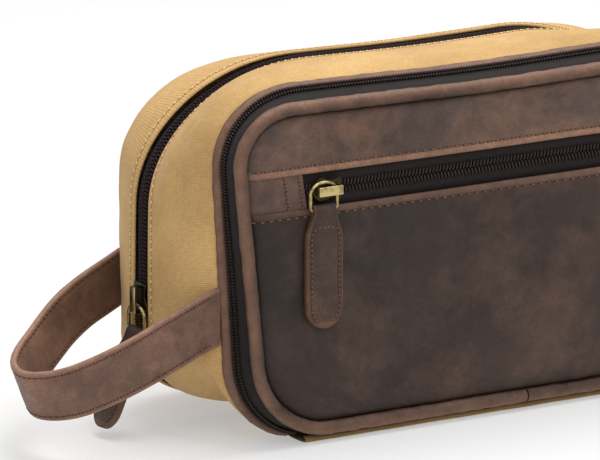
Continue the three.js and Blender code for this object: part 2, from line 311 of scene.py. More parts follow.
def mix(tree, fac, a, b, blend="MIX"):
    first, second = (c if isinstance(c, bpy.types.NodeSocket) else (*c, 1) for c in (a, b))
    inputs = {"Factor": fac, 6: first, 7: second}
    return add(tree, "Mix", inputs, data_type="RGBA", blend_type=blend).outputs[2]


def shaded(tree, amount, base, fac, *stops):
    """The colour multiplied by a ramp of greys."""
    return mix(tree, amount, base, ramp(tree, fac, *stops), "MULTIPLY")


def scaled(colour, factor):
    return tuple(c * factor for c in colour)


def uv_of(tree, sx=1.0, sy=1.0, rot=0.0):
    uv = add(tree, "UVMap", uv_map="UVMap").outputs["UV"]
    inputs = {"Vector": uv, "Scale": (sx, sy, 1), "Rotation": (0, 0, rot)}
    return add(tree, "Mapping", inputs).outputs["Vector"]


def noise_of(tree, vector, scale, detail=3.0, rough=0.55, distortion=0.0):
    inputs = {"Vector": vector, "Scale": scale, "Detail": detail, "Roughness": rough,
              "Distortion": distortion}
    return add(tree, "TexNoise", inputs).outputs["Fac"]


def bump(tree, height, distance, strength=1.0, normal=None):
    inputs = {"Height": height, "Distance": distance, "Strength": strength}
    if normal is not None:
        inputs["Normal"] = normal
    return add(tree, "Bump", inputs).outputs["Normal"]


def srgb(hexa):
    c = [int(hexa[i:i + 2], 16) / 255 for i in (0, 2, 4)]
    return tuple(x / 12.92 if x <= 0.04045 else ((x + 0.055) / 1.055) ** 2.4 for x in c)


def weave(tree, pitch):
    """Height of a plain weave: threads of one set rise where the other set dips."""
    uv = uv_of(tree)
    wobble = add(tree, "TexNoise", {"Vector": uv, "Scale": 260.0, "Detail": 2.0}).outputs["Color"]
    shift = add(tree, "VectorMath", {0: wobble, 1: (0.5, 0.5, 0.5)}, operation="SUBTRACT").outputs[0]
    shift = add(tree, "VectorMath", {0: shift, "Scale": pitch * 0.5}, operation="SCALE").outputs[0]
    uv = add(tree, "VectorMath", {0: uv, 1: shift}, operation="ADD").outputs[0]
    parts = add(tree, "SeparateXYZ", {0: uv})
    across, along = (maths(tree, "SINE", times(tree, parts.outputs[k], math.pi / pitch)) for k in (0, 1))
    over = maths(tree, "ADD", times(tree, times(tree, across, along), 0.5), 0.5, clamp=True)
    return maths(tree, "ADD", times(tree, maths(tree, "ABSOLUTE", across), over),
                 times(tree, maths(tree, "ABSOLUTE", along), maths(tree, "SUBTRACT", 1.0, over)))


def canvas_material(name, light, dark, pitch=0.00085, depth=0.00016):
    """Plain-woven canvas: uneven threads, and softly lighter and darker areas."""
    mat, tree, bsdf = material(name)
    height = weave(tree, pitch)
    thread_u = noise_of(tree, uv_of(tree, 260, 1300), 1.0, 3.0)
    thread_v = noise_of(tree, uv_of(tree, 1300, 260), 1.0, 3.0)
    slub = maths(tree, "ADD", times(tree, thread_u, 0.4), times(tree, thread_v, 0.6))
    patch = noise_of(tree, uv_of(tree), 20.0, 4.0, 0.6)
    base = mix(tree, ramp(tree, patch, (0.3, 0), (0.7, 1)), dark, light)
    base = shaded(tree, 0.4, base, slub, (0.36, 0.7), (0.64, 1.25))
    # Painted shade in the weave's hollows and painted light on the thread crests: the colour follows the
    # weave's height.
    base = shaded(tree, 0.6, base, height, (0.0, 0.3), (0.7, 1.15))
    normal = bump(tree, height, depth, 1.0)
    normal = bump(tree, slub, depth, 0.5, normal)
    normal = bump(tree, noise_of(tree, uv_of(tree), 60.0, 3.0), 0.0006, 0.35, normal)
    feed(tree, bsdf, {"Base Color": base, "Normal": normal, "Roughness": 0.9, "Specular IOR Level": 0.15,
                      "Sheen Weight": 0.08, "Sheen Roughness": 0.5})
    return mat


def leather_material(name, dark, mid, tan, patch_scale, tan_at, rough=(0.42, 0.62), painted_left_shade=1.0):
    """Pull-up leather: dark wax patches, lighter where it is stretched or rubbed, with a fine pebble grain.
    Its per-point value is above 0 on rubbed edges, for real wear, and below 0 in creases, for painted shade.
    The left-shade argument is how dark the painted shade leaves it towards the left end of the bag."""
    mat, tree, bsdf = material(name)
    uv = uv_of(tree)
    patch = noise_of(tree, uv, patch_scale, 5.0, 0.62, 0.5)
    cloud = noise_of(tree, uv_of(tree, 1, 1, 0.7), patch_scale * 2.7, 5.0, 0.65, 0.3)
    base = mix(tree, ramp(tree, patch, (0.34, 0), (0.66, 1)), dark, mid)
    rubbed = ramp(tree, cloud, (tan_at - 0.1, 0), (tan_at + 0.14, 1))
    base = mix(tree, times(tree, rubbed, 0.45), base, tan)
    wear_and_shade = add(tree, "Attribute", attribute_name="wear_and_shade").outputs["Fac"]
    breakup = noise_of(tree, uv, 110.0, 5.0, 0.7)
    worn = times(tree, wear_and_shade, ramp(tree, breakup, (0.32, 0.35), (0.6, 1)))
    base = mix(tree, times(tree, worn, 0.85, clamp=True), base, tan)
    mottle = noise_of(tree, uv, 190.0, 6.0, 0.68, 0.9)
    base = shaded(tree, 0.5, base, mottle, (0.34, 0.7), (0.66, 1.3))
    # Painted shade: creases beside the piping's seam, where the per-point value is below 0, turn nearly
    # black.
    painted_crease_shade = times(tree, wear_and_shade, -0.85, clamp=True)
    base = mix(tree, painted_crease_shade, base, scaled(dark, 0.2))
    # Painted shade: the colour darkens towards the left end of the bag.
    across = add(tree, "SeparateXYZ", {0: add(tree, "TexCoord").outputs["Object"]}).outputs[0]
    from_left = times(tree, maths(tree, "ADD", across, 0.12), 18.0, clamp=True)
    base = shaded(tree, 1.0, base, from_left, (0.0, painted_left_shade), (1.0, 1.0))
    base = shaded(tree, 0.6, base, noise_of(tree, uv, 1500.0, 3.0, 0.6), (0.32, 0.62), (0.68, 1.3))
    cells = add(tree, "TexVoronoi", {"Vector": uv, "Scale": 900.0}, feature="SMOOTH_F1").outputs["Distance"]
    normal = bump(tree, cells, 0.00012, 0.6)
    normal = bump(tree, noise_of(tree, uv, 2400.0, 3.0), 0.00006, 0.6, normal)
    normal = bump(tree, noise_of(tree, uv, 300.0, 5.0, 0.7), 0.0005, 0.5, normal)
    low, high = rough
    feed(tree, bsdf, {"Base Color": base, "Normal": normal, "Specular IOR Level": 0.25,
                      "Roughness": ramp(tree, breakup, (0.3, low), (0.7, high))})
    return mat


def tape_material(name, colour):
    """Black woven zip tape."""
    mat, tree, bsdf = material(name)
    height = weave(tree, 0.0007)
    base = mix(tree, noise_of(tree, uv_of(tree), 300.0, 3.0), colour, scaled(colour, 1.7))
    # Painted shade in the weave's hollows and painted light on the thread crests.
    base = shaded(tree, 0.6, base, height, (0.0, 0.35), (0.8, 1.2))
    feed(tree, bsdf, {"Base Color": base, "Normal": bump(tree, height, 0.00013, 0.9), "Roughness": 0.85,
                      "Specular IOR Level": 0.2, "Sheen Weight": 0.06})
    return mat


def coil_material(name, colour, rough, shine):
    mat, tree, bsdf = material(name)
    place = add(tree, "TexCoord").outputs["Object"]
    base = mix(tree, noise_of(tree, place, 500.0, 2.0), colour, scaled(colour, 2.2))
    normal = bump(tree, noise_of(tree, place, 3000.0, 2.0), 0.00003, 0.5)
    feed(tree, bsdf, {"Base Color": base, "Normal": normal, "Roughness": rough, "Specular IOR Level": shine})
    return mat


def thread_material(name, light, dark, hole_shade):
    """Twisted thread, with painted shade at the needle holes and in the twist's grooves."""
    mat, tree, bsdf = material(name)
    place = add(tree, "TexCoord").outputs["Object"]
    inputs = {"Vector": place, "Scale": 700.0, "Distortion": 1.5}
    twist = add(tree, "TexWave", inputs, bands_direction="DIAGONAL").outputs["Fac"]
    base = mix(tree, noise_of(tree, place, 130.0, 2.0), dark, light)
    # Painted shade in the twist's grooves and painted light on its crests.
    base = shaded(tree, 0.5, base, twist, (0.0, 0.6), (0.7, 1.15))
    wear_and_shade = add(tree, "Attribute", attribute_name="wear_and_shade").outputs["Fac"]
    # Painted shade: the thread's ends take the hole colour where they dip into the needle holes.
    base = mix(tree, ramp(tree, wear_and_shade, (0.3, 0), (0.56, 1)), base, hole_shade)
    feed(tree, bsdf, {"Base Color": base, "Normal": bump(tree, twist, 0.00008, 0.7), "Roughness": 0.65,
                      "Specular IOR Level": 0.25})
    return mat


def brass_material(name, rubbed_colour, tarnish_colour, amount):
    """Antique brass: yellow where it is rubbed, brown-black tarnish elsewhere. `amount` is the tarnished
    share."""
    mat, tree, bsdf = material(name)
    place = add(tree, "TexCoord").outputs["Object"]
    tarnish = noise_of(tree, place, 260.0, 4.0, 0.65, 0.4)
    edge = add(tree, "NewGeometry").outputs["Pointiness"]
    rubbed = ramp(tree, edge, (0.5, 0), (0.6, 1))
    clean = ramp(tree, tarnish, (amount - 0.12, 0), (amount + 0.12, 1))
    base = mix(tree, maths(tree, "ADD", clean, rubbed, clamp=True), tarnish_colour, rubbed_colour)
    normal = bump(tree, noise_of(tree, place, 1800.0, 3.0), 0.00003, 0.5)
    feed(tree, bsdf, {"Base Color": base, "Normal": normal, "Metallic": 1.0,
                      "Roughness": ramp(tree, tarnish, (0.3, 0.45), (0.7, 0.24))})
    return mat


CANVAS = canvas_material("canvas", srgb("cba66f"), srgb("ae8b5a"))
# A darker copy of the canvas: painted shade for the hinge strip, which lies in the shadow under the cover.
SHADED_CANVAS = canvas_material("shaded_canvas", srgb("8c6f42"), srgb("6f5632"))
LINING = canvas_material("lining", srgb("5b4a39"), srgb("463829"), 0.0006, 0.00008)
PANEL = leather_material("panel_leather", srgb("241b18"), srgb("43342d"), srgb("6b4f40"), 8.0, 0.56,
                         painted_left_shade=0.6)
PANEL_UP = leather_material("upper_leather", srgb("3a2d28"), srgb("655249"), srgb("946d55"), 8.0, 0.5)
TRIM = leather_material("trim_leather", srgb("34261f"), srgb("553f34"), srgb("7d5c49"), 18.0, 0.56,
                        (0.42, 0.6))
STRAP_LEATHER = leather_material("strap_leather", srgb("513c33"), srgb("77594b"), srgb("9c7661"), 13.0, 0.54)
TAB_LEATHER = leather_material("tab_leather", srgb("33261f"), srgb("4a3830"), srgb("74543f"), 22.0, 0.6)
TAPE = tape_material("zip_tape", srgb("1e1918"))
COIL = coil_material("zip_coil", srgb("241c19"), 0.5, 0.22)
DULL_COIL = coil_material("dull_zip_coil", srgb("231b1c"), 0.8, 0.08)
# The last colour of each thread is painted shade for its needle holes.
TAN_THREAD = thread_material("tan_thread", srgb("ecce98"), srgb("cda872"), srgb("86683c"))
RUST_THREAD = thread_material("rust_thread", srgb("83563f"), srgb("57382a"), srgb("0f0806"))
BRASS = brass_material("brass", srgb("bfae7a"), srgb("5c5134"), 0.46)
DARK_BRASS = brass_material("tarnished_brass", srgb("bfae7c"), srgb("38321f"), 0.74)


# ---- the body's outlines
def corner(cx, cz, rx, rz, start, count=18):
    a = np.radians(np.linspace(start, start + 90, count))
    return np.stack([cx + rx * np.cos(a), cz + rz * np.sin(a)], axis=1)


def straight(a, b, count):
    t = np.linspace(0, 1, count + 2)[1:-1, None]
    return np.asarray(a) * (1 - t) + np.asarray(b) * t


def rounded(half, low, high, top_rx, top_rz, low_rx, low_rz):
    """A rounded rectangle, anticlockwise seen from the front, starting at the middle of its base."""
    br = corner(half - low_rx, low + low_rz, low_rx, low_rz, -90)
    tr = corner(half - top_rx, high - top_rz, top_rx, top_rz, 0)
    tl = corner(-half + top_rx, high - top_rz, top_rx, top_rz, 90)
    bl = corner(-half + low_rx, low + low_rz, low_rx, low_rz, 180)
    middle = (0, low)
    return np.vstack([straight(middle, br[0], 14), br, straight(br[-1], tr[0], 14), tr,
                      straight(tr[-1], tl[0], 26), tl, straight(tl[-1], bl[0], 14), bl,
                      straight(bl[-1], middle, 14), [middle]])


def inward(points, inset):
    """The outline moved in by inset, along its own normals."""
    t = tangents(points, closed=True)
    out = np.stack([t[:, 1], -t[:, 0]], axis=1)
    return points - out * inset, out


def section(y, inset=0.0):
    """Outline of the filled body at depth y, and its outward directions."""
    half = 127 * (1 + 0.095 * (1 - ((y - 2) / 42) ** 2)) - 1.3 * smooth(share(y, 8, 24))
    # The zip lies on a slope: the canvas behind it stands higher, then falls away to the rear.
    high = 158.6 - 0.0029 * (y + 15) ** 2 + 1.6 * smooth(share(y, -6, 14)) - 0.008 * max(y - 8, 0) ** 2
    near_zip = math.exp(-((y - 2) / 22) ** 2)
    # Behind the stiff front frame the lower corners lift off the table.
    pulled = smooth(share(y, -40, 10)) * math.exp(-(max(y - 5, 0) / 48) ** 2)
    p = rounded(half, 0.0, high, 38 + 44 * near_zip, 34 + 25 * near_zip, 38 + 6 * pulled, 36)
    raised = 9.8 * pulled * (1 + 0.42 * math.exp(-((y + 27) / 12) ** 2))
    p[:, 1] += raised * smooth(share(np.abs(p[:, 0]), 52, 42)) * np.clip(1 - p[:, 1] / 60, 0, 1)
    # Only the left end leans.
    lean = 0.036 * math.exp(-((y + 45) / 28) ** 2) - 0.010 * near_zip
    p[:, 0] *= 1 + lean * (p[:, 1] - 80) / 80 * (p[:, 0] < 0)
    side = np.clip(1 - ((p[:, 1] - MIDDLE_Z) / 62) ** 2, 0, 1)
    p[:, 0] += np.sign(p[:, 0]) * side * 1.2 * near_zip
    p[:, 1] -= 1.6 * np.exp(-(p[:, 0] / 60) ** 2) * (p[:, 1] > high / 2)
    # The right end is less full, so its shoulder is lower.
    p[:, 1] -= 5.5 * near_zip * smooth(share(p[:, 0], 48, 48) * share(p[:, 1], 70, 60))
    return inward(p, inset)


def cover_outline(inset=0.0):
    p = rounded(124.2, COVER_LOW, COVER_HIGH, 30, 29, 38, 34)
    p[:, 0] *= 1 + 0.0008 * (p[:, 1] - 89)
    p[:, 1] -= 1.2 * np.exp(-(p[:, 0] / 60) ** 2) * (p[:, 1] > 80)
    return inward(p, inset)


def lift(points2, y):
    """Points of an outline (x, z) at depth y."""
    y = np.broadcast_to(y, len(points2))
    return np.stack([points2[:, 0], y, points2[:, 1]], axis=1)


def arch(outline, right, left):
    """The stretch of an outline over the top. Each end is ("height", z) or ("wrap", distance from the
    middle)."""
    pts, out = outline
    both = resample(np.hstack([pts, out]), count=1400, closed=True)
    kinds = []
    for side, (kind, value) in ((1, right), (-1, left)):
        on_side = both[:, 0] * side > 0
        if kind == "height":
            ok = on_side & (both[:, 1] >= value)
        else:
            ok = on_side & ((np.abs(both[:, 0]) >= value) | (both[:, 1] > 80))
        kinds.append(np.where(ok)[0])
    run = both[kinds[0][0]:kinds[1][-1] + 1]
    return run[:, :2], unit(run[:, 2:])


# ---- canvas
def wrinkle(p, n, amount):
    """Soft dents and drag lines of a filled canvas wall."""
    broad = fbm(p, 0.018, 2, 3.1) * 1.5
    drag = noise.noise(Vector((p[0] * 0.03, p[1] * 0.02 + 5.0, p[2] * 0.11))) * 0.7
    return n * (broad + drag) * amount


def loft(rows):
    """Rows of (y, inset) around the body as a grid of points, with their outward directions."""
    pts, outs = [], []
    for y, inset in rows:
        p, n = section(y, inset)
        pts.append(lift(p, y))
        outs.append(lift(n, 0.0))
    return np.array(pts), np.array(outs)


def shrinking(ring, scales, middle_z, swell, power=2):
    """Rings that shrink towards the middle of an upright one, with the middle `swell` further back."""
    rings = []
    for k in scales:
        inner = ring.copy()
        inner[:, 0] *= k
        inner[:, 1] = ring[:, 1].mean() + swell * (1 - k ** power)
        inner[:, 2] = middle_z + (ring[:, 2] - middle_z) * k
        rings.append(inner)
    return np.array(rings)


def build_front_gusset():
    edge = MAIN_ZIP_Y - CANVAS_EDGE
    rows = [(-40.5, 2.6), (-39.0, 0.9), (-37.0, 0.2)] + [(y, 0.0) for y in np.linspace(-34, edge - 7, 9)]
    rows += [(edge - back, inset) for back, inset in HEM]
    pts, outs = loft(rows)
    shape = pts.copy()
    for j, (y, _) in enumerate(rows):
        fade = np.clip(min((y + 38) / 10, (edge - 3 - y) / 9), 0, 1)
        # A slack fold stands up beside the frame's piping.
        ridge = math.exp(-((y + 31) / 3.2) ** 2) - 0.7 * math.exp(-((y + 24.5) / 3.5) ** 2)
        for i in range(pts.shape[1]):
            lower = share(pts[j, i, 2], 4, 12)
            upper = share(pts[j, i, 2], 60, 50)
            shape[j, i] += wrinkle(pts[j, i], outs[j, i], fade * lower)
            shape[j, i] += outs[j, i] * 1.4 * fade * lower * math.sin(math.pi * (y + 38) / (edge + 38))
            shape[j, i] += outs[j, i] * 1.7 * ridge * upper
    gusset = sheet("front_gusset_canvas", shape, CANVAS, close_u=True, thick=1.2, flip=True)
    smooth_more(gusset)
    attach(gusset, "body")
    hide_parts("front_gusset")


def build_rear_canvas():
    edge = MAIN_ZIP_Y + CANVAS_EDGE
    turn = 17.0  # radius of the turn into the rear wall
    rows = [(edge + back, inset) for back, inset in HEM[::-1]]
    rows += [(y, 0.0) for y in np.linspace(edge + 8, 38, 8)]
    rows += [(38.5 + turn * math.sin(a), turn * (1 - math.cos(a)))
             for a in np.radians(np.linspace(12, 84, 8))]
    pts, outs = loft(rows)
    # The rear wall closes the loft.
    wall = shrinking(pts[-1], np.linspace(0.93, 0.02, 12), 76.0, 1.6)
    wall_out = np.zeros_like(wall)
    wall_out[..., 1] = 1.0
    shape = np.concatenate([pts, wall])
    normal = np.concatenate([outs, wall_out])
    for j in range(shape.shape[0]):
        y = rows[j][0] if j < len(rows) else 60.0
        fade = share(y, edge + 4, 9)
        for i in range(shape.shape[1]):
            shape[j, i] += wrinkle(shape[j, i], normal[j, i], fade * share(shape[j, i, 2], 4, 12))
    rear = sheet("rear_canvas", shape, CANVAS, close_u=True, thick=1.2, flip=True,
                 flat_from=len(rows) - 3)
    smooth_more(rear)
    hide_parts("tub", "rear_flap")
    return rear


build_front_gusset()
rear_canvas = build_rear_canvas()
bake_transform(rear_canvas)


# ---- zips
def teeth(name, line, out, side, across, reach, size, mat, pitch=PITCH):
    """A row of slanted coil teeth along a line, on the zip's side 1 or -1: `across` points from the middle of
    the zip to its tape, and `reach` is how far a tooth goes past the line, inwards and outwards."""
    both = resample(np.hstack([line, np.broadcast_to(out, line.shape)]), step=pitch)
    mid = both[:, :3] + tangents(both[:, :3]) * (0.25 * side) * pitch
    t = tangents(mid)
    outer = mid + across * reach[1] + t * 0.42
    inner = mid - across * reach[0] - t * 0.3
    verts, faces = capsules(inner, outer, unit(both[:, 3:]), size[0], size[1], sink=0.25, tip=0.7)
    return make(name, verts, faces, mat)


def build_main_zip():
    end = ("height", MAIN_ZIP_END)
    for side, label, body in ((-1, "front", "body"), (1, "rear", "flap")):
        y = MAIN_ZIP_Y + side * 1.2
        path, out = arch(section(y, 1.75), end, end)
        grid = []
        for d, inset in ((0.04, 1.1), (2.0, 1.15), (4.6, 1.3), (8.5, 1.9)):
            grid.append(lift(path - out * inset, MAIN_ZIP_Y + side * d)[::6])
        tape = sheet(f"main_{label}_tape", np.array(grid), TAPE, thick=0.5, flip=side > 0)
        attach(tape, body)
        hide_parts(f"main_tape_{label}")
        coil = teeth(f"main_{label}_coil", lift(path, y), lift(out, 0.0), side, np.array([0.0, side, 0.0]),
                     (1.15, 2.1), (0.85, 0.62), DULL_COIL)
        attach(coil, body)
        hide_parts(f"main_coil_{label}")


def build_front_zip():
    """The front zip lies on the slope between the body's front frame and the leather cover."""
    wrap = ("wrap", ZIP_WRAP)
    frame_y, cover_y = -43.5, -53.8

    def sloped(y, right):
        """Points (x, y, z) of the slope at about depth y, and their outward directions.
        Over the top and down the left side the zip runs closer to the frame's piping, and down the right side
        it is straight for its slider."""
        ends = []
        for outline in (section(-42.0, 1.1), cover_outline(1.6)):
            path, out = arch(outline, right, wrap)
            ends.append(resample(np.hstack([path, out]), count=900))
        on_left = ends[0][:, 0] < 0
        high = share(ends[0][:, 1], np.where(on_left, 70, 122), np.where(on_left, 50, 26))
        nearer = np.where(on_left, 0.0, -1.2) + np.where(on_left, 1.4, 2.6) * smooth(high)
        depth = np.clip(y + nearer, cover_y - 1, frame_y + 0.2)
        t = ((depth - frame_y) / (cover_y - frame_y))[:, None]
        both = ends[0] * (1 - t) + ends[1] * t
        return lift(both[:, :2], depth), lift(unit(both[:, 2:]), 0.0)

    for side, body, depths in (
        (1, "body", (-45.9, -44.8, -43.9, -43.4)),
        (-1, "cover", (-46.5, -47.6, -50.2, -52.4, -54.6)),
    ):
        grid = []
        for k, y in enumerate(depths):
            path, out = sloped(y, wrap)
            sink = 0.9 + (1.4 if k == len(depths) - 1 else 0.0) + (0.5 if k == 0 else 0.0)
            grid.append((path - out * sink)[::6])
        tape = sheet(f"front_{body}_tape", np.array(grid), TAPE, thick=0.5, flip=side > 0)
        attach(tape, body)
        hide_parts(f"front_tape_{body}")
        path, out = sloped(FRONT_ZIP_Y + side * 0.95, ("height", FRONT_ZIP_STOP))
        coil = teeth(f"front_{body}_coil", path, out - (0, 0.25, 0), side, np.array([0.0, side, 0.0]),
                     (0.85, 1.15), (0.75, 0.4), COIL, pitch=1.4)
        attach(coil, body)
        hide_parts(f"front_coil_{body}")


build_main_zip()
build_front_zip()


def build_piping():
    path, out = arch(section(OUTER_PIPING_Y, PIPING_R), ("wrap", ZIP_WRAP), ("wrap", ZIP_WRAP))
    both = resample(np.hstack([lift(path, OUTER_PIPING_Y), lift(out, -0.5)]), step=2.2)
    piping = tube("outer_piping_leather", both[:, :3], PIPING_R, TRIM, both[:, 3:],
                  crinkle=0.35, seed=1.0, on_table=True)
    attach(piping, "body")
    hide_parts("outer_piping")
    join = -3  # the loop starts at the join, just left of the middle of the base
    pts, out = (np.roll(a, join, axis=0) for a in cover_outline(COVER_PIPING_R))
    loop = np.hstack([lift(pts, COVER_PIPING_Y), lift(out, -0.8)])
    both = resample(np.vstack([loop, loop[:1]]), step=2.2)
    both[-1] += (both[-2] - both[-1]) * 0.25
    piping = tube("cover_piping_leather", both[:, :3], COVER_PIPING_R, TRIM, both[:, 3:],
                  crinkle=0.35, seed=4.0)
    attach(piping, "cover")
    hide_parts("cover_piping")


build_piping()


# ---- leather cover
FACE_Y = COVER_PIPING_Y - 1.4
SEAM = resample(cover_outline(COVER_PIPING_R * 2 - 0.9)[0], count=260, closed=True)


def seam_distance(x, z):
    """Distance from a point of the face to the seam beside the piping; below 0 outside it."""
    d = SEAM - (x, z)
    k = int(np.argmin((d ** 2).sum(axis=1)))
    t = SEAM[(k + 1) % len(SEAM)] - SEAM[k - 1]
    out = np.array([t[1], -t[0]]) / math.hypot(*t)
    return float(d[k] @ out)


def face_y(x, z):
    """Depth of the filled leather face: crowned, and drawn in towards the piping's seam."""
    d = seam_distance(x, z)
    inside = max(d, 0.0)
    drawn_in = 1.6 * math.exp(-inside / 3.2) + 2.9 * math.exp(-inside / 1.1) + 0.35 * max(-d, 0.0)
    across = max(0.0, 1 - (abs(x) / 118) ** 2.6)
    up = max(0.0, 1 - (abs(z - MIDDLE_Z) / 70) ** 2.6)
    dent = 0.35 * noise.noise(Vector((x * 0.02, z * 0.03, 1.7)))
    dent += 0.2 * noise.noise(Vector((x * 0.06, z * 0.09, 4.2)))
    return FACE_Y - 1.3 * math.sqrt(across * up) - dent + drawn_in


def face_point(x, z, lift_by=0.0):
    return (x, face_y(x, z) - lift_by, z)


def half_width_at(outline, z):
    """Right-hand x of an outline at height z."""
    pts = outline[0]
    right = pts[pts[:, 0] > 0]
    order = np.argsort(right[:, 1])
    return float(np.interp(z, right[order, 1], right[order, 0]))


def build_panel(name, z_edge, z_far, mat, node):
    """A leather panel from the window's edge z_edge, where it is turned into a soft lip, to the piping at
    z_far."""
    inner = cover_outline(PANEL_INSET)
    side = 1 if z_far > z_edge else -1
    lip = ((1.1, -1.9), (0.3, -1.6), (0.0, -0.7), (0.15, 0.1), (0.8, 0.55), (1.7, 0.7), (2.6, 0.45),
           (3.1, 0.1), (3.4, -0.05), (3.9, 0.15), (5.0, 0.25))
    heights = [z_edge + side * d for d, _ in lip]
    lifts = [up for _, up in lip]
    easing = np.sin(np.linspace(0, math.pi / 2 * 0.97, 34)) / math.sin(math.pi / 2 * 0.97)
    heights += list(z_edge + side * 7.5 + (z_far - z_edge - side * 7.5) * easing)
    lifts += list(np.linspace(0.2, 0.0, len(easing)))
    span = np.sin(np.linspace(-math.pi / 2, math.pi / 2, 96) * 0.94) / math.sin(math.pi / 2 * 0.94)
    rows = []
    for z, up in zip(heights, lifts):
        half = half_width_at(inner, z)
        rows.append([face_point(x, z, up) for x in span * half])
    pts = np.array(rows)
    from_edge = np.abs(pts[..., 2] - z_edge)
    wear_and_shade = np.clip((3.3 - from_edge) / 0.8, 0, 1) * 0.95
    # Painted shade in the crease beside the piping's seam: the per-point value drops below 0 there.
    to_seam = np.array([max(seam_distance(x, z), 0.0) for x, _, z in pts.reshape(-1, 3)])
    wear_and_shade = wear_and_shade.ravel() - 1.3 * np.exp(-to_seam / 1.3)
    panel = sheet(name, pts, mat, wear_and_shade=wear_and_shade, thick=1.4, flip=side < 0)
    smooth_more(panel)
    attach(panel, "cover")
    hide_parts(node)
    z = z_edge + side * 3.45
    half = half_width_at(inner, z) - 3.0
    line = np.array([face_point(x, z, -0.05) for x in np.linspace(-half, half, 160)])
    row = stitches(f"{name}_stitches", line, FORWARD, RUST_THREAD)
    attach(row, "cover")


build_panel("upper_leather_panel", WINDOW_HIGH, COVER_HIGH - 4.2, PANEL_UP, "upper_panel")
build_panel("lower_leather_panel", WINDOW_LOW, COVER_LOW + 4.2, PANEL, "lower_panel")


def build_window_ends():
    """The leather tabs that close the pocket window at its two ends, each with two rows of stitches."""
    inner = cover_outline(PANEL_INSET)
    slant = 0.16  # the left tab's edge leans, as it is sewn a little askew
    edge = ((0.9, -2.4), (0.2, -2.0), (0.0, -1.1), (0.3, -0.45), (1.2, -0.2), (3.0, -0.3))
    for side, label in ((-1, "left"), (1, "right")):
        far = half_width_at(inner, POCKET_ZIP_Z)
        outs = [WINDOW_HALF + d for d, _ in edge] + list(np.linspace(WINDOW_HALF + 6, far, 9))
        lifts = [up for _, up in edge] + [-0.4] * 9
        heights = np.linspace(WINDOW_LOW - 2.5, WINDOW_HIGH + 2.5, 11)
        rows = []
        for x, up in zip(outs, lifts):
            lean = (far - x) / (far - WINDOW_HALF) * slant if side < 0 else 0.0
            rows.append([face_point(side * x - lean * (z - POCKET_ZIP_Z), z, up - 0.5) for z in heights])
        wear_and_shade = np.exp(-np.abs(np.array(outs) - WINDOW_HALF) / 1.1) * 0.7
        tab = sheet(f"window_end_leather_{label}", np.array(rows), PANEL_UP,
                    wear_and_shade=np.repeat(wear_and_shade, len(heights)), thick=1.2, flip=side > 0)
        smooth_more(tab)
        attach(tab, "cover")
        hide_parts(f"window_end_{label}")
        for k, inset in enumerate((2.6, 9.6)):
            x = side * (WINDOW_HALF + inset)
            line = np.array([face_point(x - (slant * (z - POCKET_ZIP_Z) if side < 0 else 0), z, -0.72)
                             for z in np.linspace(WINDOW_LOW + 0.5, WINDOW_HIGH - 0.5, 20)])
            row = stitches(f"window_end_stitches_{label}_{k}", line, FORWARD, RUST_THREAD,
                           pitch=3.2, length=2.4)
            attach(row, "cover")


build_window_ends()


def build_pocket_zip():
    half = WINDOW_HALF - 0.4
    tape_y = -55.3  # flat, so that the slider runs straight

    def level(reach, count, y, z):
        """Points along the zip at one depth and height."""
        return lift(np.stack([np.linspace(-reach, reach, count), np.full(count, z)], axis=1), y)

    for side, label in ((1, "upper"), (-1, "lower")):
        rows = [level(half + 8, 40, tape_y + back, POCKET_ZIP_Z + side * d)
                for d, back in ((0.3, 0.0), (2.4, 0.0), (5.5, 0.1), (9.0, 0.5))]
        tape = sheet(f"pocket_tape_cloth_{label}", np.array(rows), TAPE, thick=0.5, flip=side < 0)
        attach(tape, "cover")
        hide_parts(f"pocket_tape_{label}")
        line = level(half, 400, tape_y - 0.85, POCKET_ZIP_Z + side * 1.35)
        coil = teeth(f"pocket_coil_teeth_{label}", line, FORWARD, side, np.array([0.0, 0.0, side]),
                     (1.3, 1.75), (0.9, 0.5), COIL)
        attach(coil, "cover")
        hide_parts(f"pocket_coil_{label}")


build_pocket_zip()


# ---- stitch rows on the canvas
def build_canvas_stitches():
    end = ("height", MAIN_ZIP_END - 2)
    for side, label, body in ((-1, "front", "body"), (1, "rear", "flap")):
        y = MAIN_ZIP_Y + side * (CANVAS_EDGE + 3.1)
        path, out = arch(section(y, -0.05), end, end)
        row = stitches(f"zip_stitches_{label}", lift(path, y), lift(out, 0.0), TAN_THREAD,
                       pitch=3.5, length=2.7, radius=0.33)
        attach(row, body)


build_canvas_stitches()


# ---- inside
def build_inside():
    scales = np.linspace(1.0, 0.03, 12)
    rings = shrinking(lift(section(DIVIDER_Y, 3.0)[0], DIVIDER_Y + 0.2), scales, MIDDLE_Z, 1.2)
    divider = sheet("divider_cloth", rings, LINING, close_u=True, thick=1.0, flat_from=0)
    smooth_more(divider)
    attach(divider, "body")
    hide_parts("divider")

    rings = shrinking(lift(cover_outline(PIPING_R * 2 + 3.0)[0], -49.2), scales, MIDDLE_Z, 0.9, power=4)
    backing = sheet("cover_lining_cloth", rings, LINING, close_u=True, thick=1.2, flat_from=0)
    smooth_more(backing)
    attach(backing, "cover")
    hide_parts("cover_board")

    xs = np.linspace(-ZIP_WRAP + 0.4, ZIP_WRAP - 0.4, 90)
    profile = [(-37.5, 1.5), (-40.0, 0.5), (-45.0, 0.25), (-51.5, 0.25), (-54.3, 0.5), (-55.4, 1.3),
               (-55.3, 2.3), (-54.2, 3.2), (-52.6, 3.6)]
    rows = []
    for k, (y, z) in enumerate(profile):
        ripple = 0.5 if k in (4, 5, 6) else 0.0
        rows.append([(x, y + ripple * noise.noise(Vector((x * 0.06, 0.3, 0.0))), z) for x in xs])
    # The hinge strip's canvas is darkened with painted shade.
    strip = sheet("hinge_strip_canvas", np.array(rows), SHADED_CANVAS, thick=0.9)
    smooth_more(strip)
    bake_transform(strip)
    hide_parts("hinge_strip")
    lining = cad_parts["pocket_lining"]
    lining.data.materials.clear()
    lining.data.materials.append(LINING)


build_inside()


